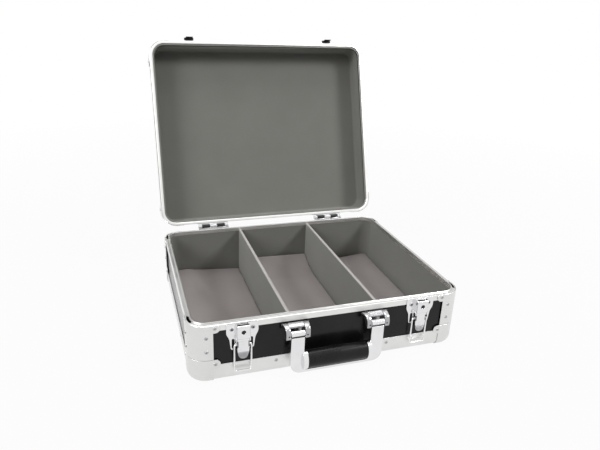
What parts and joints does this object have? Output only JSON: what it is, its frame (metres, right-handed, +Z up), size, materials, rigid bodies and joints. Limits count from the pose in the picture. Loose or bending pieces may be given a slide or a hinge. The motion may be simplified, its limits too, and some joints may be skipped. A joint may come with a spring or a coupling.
{
  "type": "aluminium-framed disc storage case",
  "caption": "Aluminium-framed storage case with a hinged lid held open, divided lined compartments, draw latches and a drop handle on its front.",
  "frame": {"origin": "centre of the flat underside of the base", "axes": "+X to the right as seen from the latches, +Y from the latches to the hinges, +Z up"},
  "size_m": [0.4618, 0.5687, 0.4734],
  "materials": {
    "trim": "satin extruded aluminium",
    "cap": "pressed and nickel plated, half bright",
    "laminate": "fine grained black laminate on board",
    "lining": "short napped grey felt",
    "pad": "soft grey felt, slightly pink",
    "chrome": "bright plated steel and zinc",
    "steel": "plated steel",
    "plug": "dark lock plug",
    "grip": "black moulded grip, half gloss"
  },
  "bodies": {
    "base": {"bottom_panel": "laminate", "front_panel": "laminate", "rear_panel": "laminate", "left_panel": "laminate", "right_panel": "laminate", "bottom_edge_front": "trim", "bottom_edge_rear": "trim", "bottom_edge_left": "trim", "bottom_edge_right": "trim", "base_rim": "trim", "corner_plate_front_left": "cap", "ball_corner_front_left": "cap", "corner_plate_front_right": "cap", "ball_corner_front_right": "cap", "corner_plate_rear_left": "cap", "ball_corner_rear_left": "cap", "corner_plate_rear_right": "cap", "ball_corner_rear_right": "cap", "base_lining": "lining", "divider_left": "lining", "divider_right": "lining", "floor_pad_left": "pad", "floor_pad_middle": "pad", "floor_pad_right": "pad", "latch_plate_left": "chrome", "latch_pin_left": "steel", "latch_plate_right": "chrome", "latch_pin_right": "steel", "handle_bracket_left": "chrome", "handle_pin_left": "steel", "handle_bracket_right": "chrome", "handle_pin_right": "steel", "hinge_base_leaf_left": "steel", "hinge_pin_left": "steel", "hinge_base_leaf_right": "steel", "hinge_pin_right": "steel"},
    "lid": {"hinge_lid_leaf_left": "steel", "hinge_lid_leaf_right": "steel", "lid_top_panel": "laminate", "lid_front_panel": "laminate", "lid_rear_panel": "laminate", "lid_left_panel": "laminate", "lid_right_panel": "laminate", "lid_rim": "trim", "lid_edge_band": "trim", "lid_corner_front_left": "cap", "lid_corner_front_right": "cap", "lid_corner_rear_left": "cap", "lid_corner_rear_right": "cap", "lid_lining": "lining", "lid_catch_left": "chrome", "lid_catch_right": "chrome"},
    "handle": {"handle_frame": "chrome", "handle_grip": "grip"},
    "lever_left": {"latch_lever_left": "chrome"},
    "bail_left": {"latch_bail_left": "chrome"},
    "cylinder_left": {"lock_cylinder_left": "plug"},
    "lever_right": {"latch_lever_right": "chrome"},
    "bail_right": {"latch_bail_right": "chrome"},
    "cylinder_right": {"lock_cylinder_right": "plug"}
  },
  "joints": [
    {"name": "lid_hinge", "type": "hinge", "parent": "base", "child": "lid", "pos_m": [0, 0.1914, 0.1057], "axis": [1, 0, 0], "range_deg": [0, 108]},
    {"name": "lever_pivot_left", "type": "hinge", "parent": "base", "child": "lever_left", "pos_m": [-0.149, -0.1913, 0.0755], "axis": [-1, 0, 0], "range_deg": [0, 95]},
    {"name": "bail_pivot_left", "type": "hinge", "parent": "lever_left", "child": "bail_left", "pos_m": [-0.149, -0.1897, 0.067], "axis": [1, 0, 0], "range_deg": [-180, 0]},
    {"name": "key_turn_left", "type": "hinge", "parent": "base", "child": "cylinder_left", "pos_m": [-0.149, -0.193, 0.0905], "axis": [0, -1, 0], "range_deg": [0, 90]},
    {"name": "lever_pivot_right", "type": "hinge", "parent": "base", "child": "lever_right", "pos_m": [0.149, -0.1913, 0.0755], "axis": [-1, 0, 0], "range_deg": [0, 95]},
    {"name": "bail_pivot_right", "type": "hinge", "parent": "lever_right", "child": "bail_right", "pos_m": [0.149, -0.1897, 0.067], "axis": [1, 0, 0], "range_deg": [-180, 0]},
    {"name": "key_turn_right", "type": "hinge", "parent": "base", "child": "cylinder_right", "pos_m": [0.149, -0.193, 0.0905], "axis": [0, -1, 0], "range_deg": [0, 90]},
    {"name": "handle_swing", "type": "hinge", "parent": "base", "child": "handle", "pos_m": [0, -0.20055, 0.078], "axis": [-1, 0, 0], "range_deg": [0, 100]}
  ]
}
